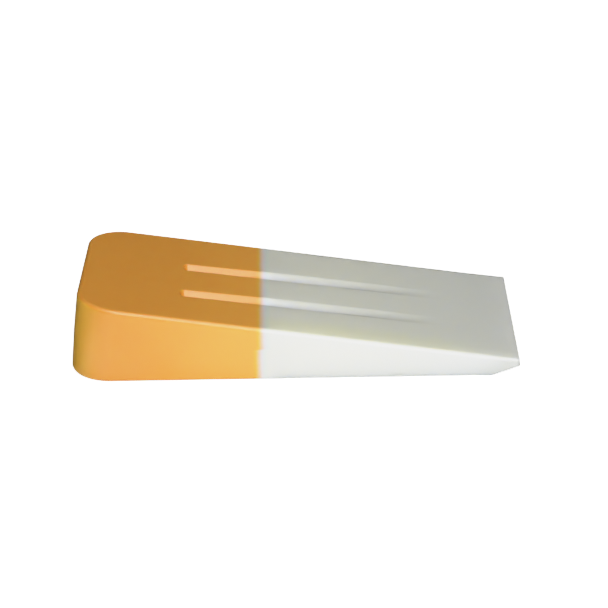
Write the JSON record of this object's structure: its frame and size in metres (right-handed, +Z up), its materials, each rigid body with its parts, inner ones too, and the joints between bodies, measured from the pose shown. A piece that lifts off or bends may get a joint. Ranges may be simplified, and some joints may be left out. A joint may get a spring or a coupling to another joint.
{
  "type": "wheel chock",
  "caption": "Slim solid plastic wedge chock: a natural white body with an orange head on its thick end, and shallow grooves along the sloping top face.",
  "frame": {"origin": "middle of the footprint on the ground (centre of the bounding box, at its bottom)", "axes": "+X from the thick orange head towards the thin tip, +Y to the left of that direction, +Z up from the ground"},
  "size_m": [0.14, 0.066, 0.0258],
  "materials": {
    "white_plastic": "natural white moulded plastic, satin, slightly translucent",
    "orange_plastic": "orange moulded plastic, satin"
  },
  "bodies": {
    "root": {"wedge_body": "white_plastic", "head_cap": "orange_plastic"}
  },
  "joints": []
}
